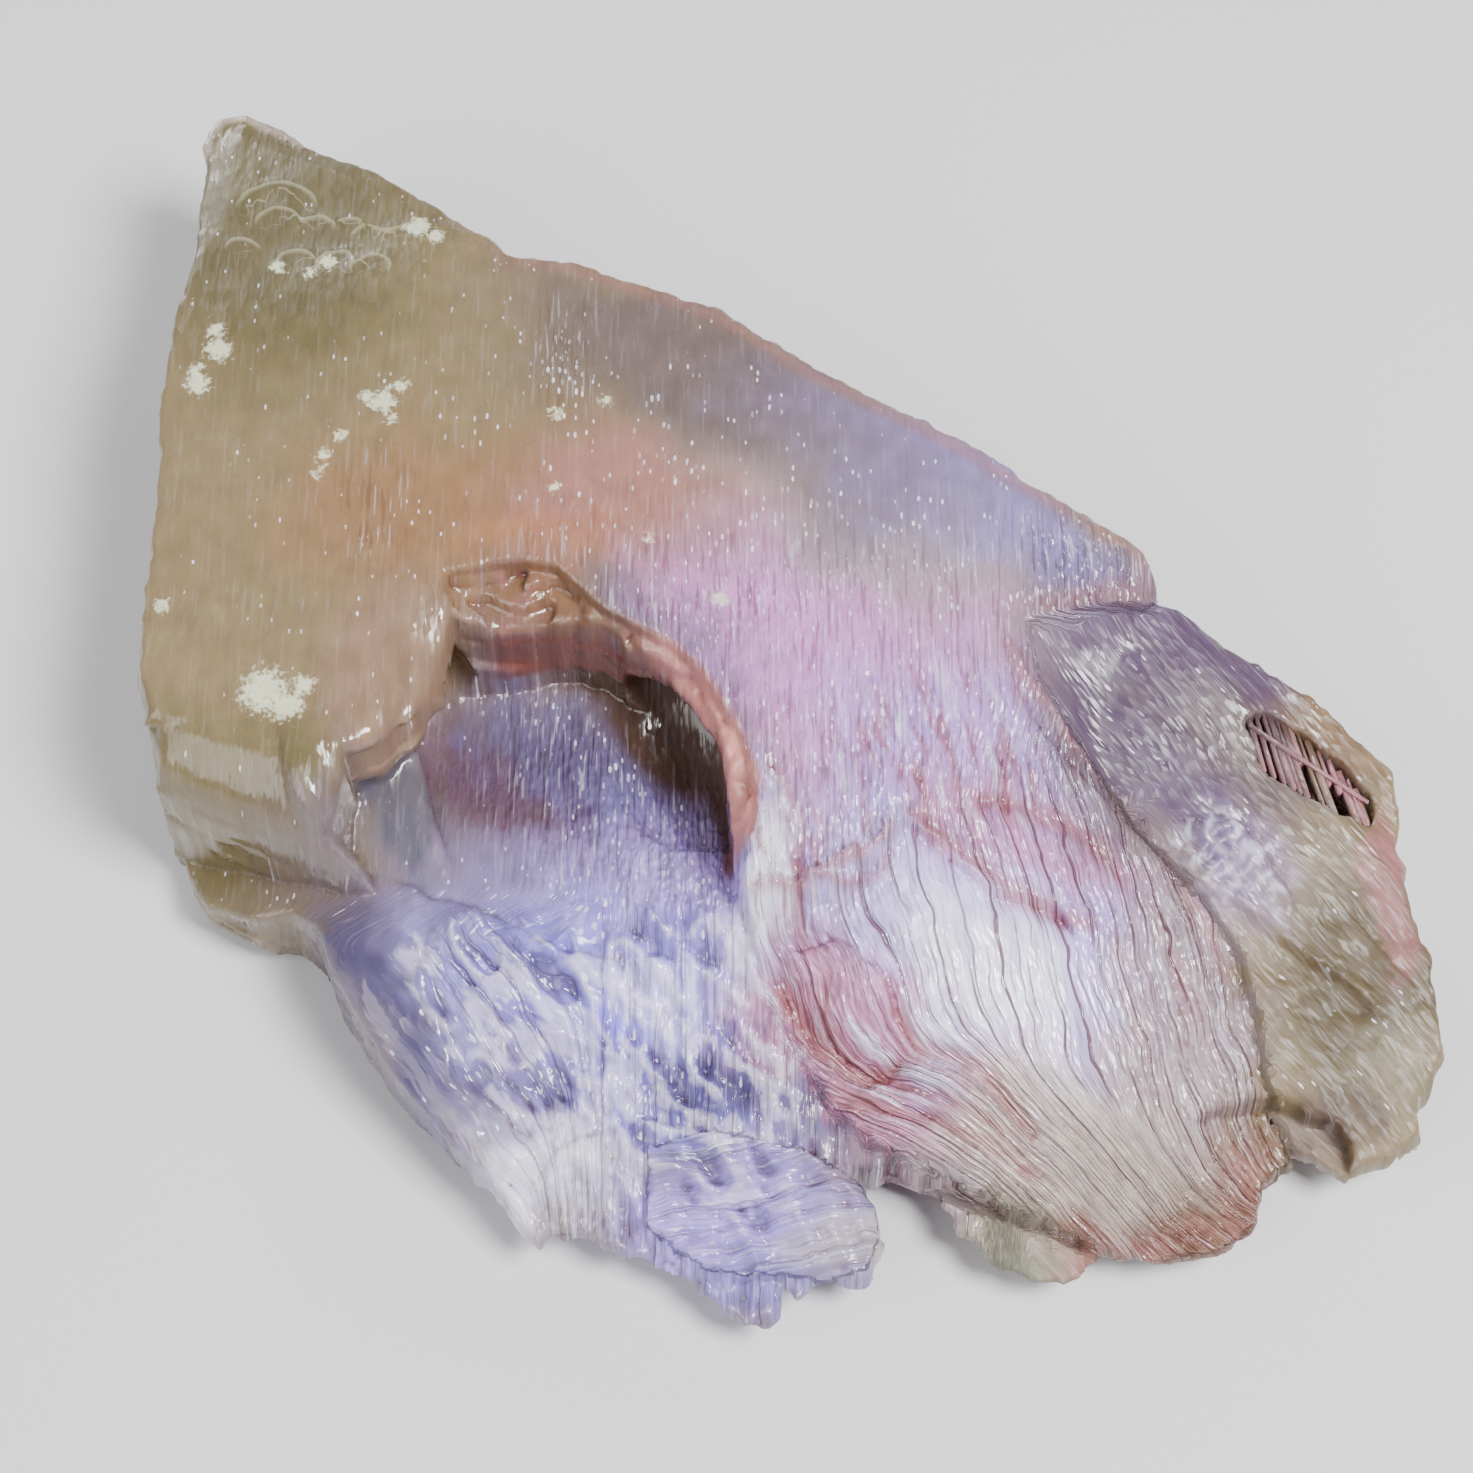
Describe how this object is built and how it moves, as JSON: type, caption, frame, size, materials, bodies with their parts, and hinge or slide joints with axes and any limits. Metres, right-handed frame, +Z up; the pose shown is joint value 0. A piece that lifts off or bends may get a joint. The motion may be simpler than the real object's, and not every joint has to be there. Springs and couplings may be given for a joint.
{
  "type": "selenite crystal",
  "caption": "Broken blade of selenite: a thick flat cleavage slab with a dissolved hollow, a fluted fan and thin translucent wings, lying on its face.",
  "frame": {"origin": "centre of the bounding box, on the flat cleavage face it lies on", "axes": "+Z up out of the upper cleavage face; +Y along the striations (the c axis) towards the acute tip; +X towards the thin right wing"},
  "size_m": [0.097, 0.098, 0.0209],
  "materials": {
    "selenite": "translucent honey to peach gypsum, pearly on the cleavage face, silky on the fan"
  },
  "bodies": {
    "root": {"selenite_crystal": "selenite"}
  },
  "joints": []
}
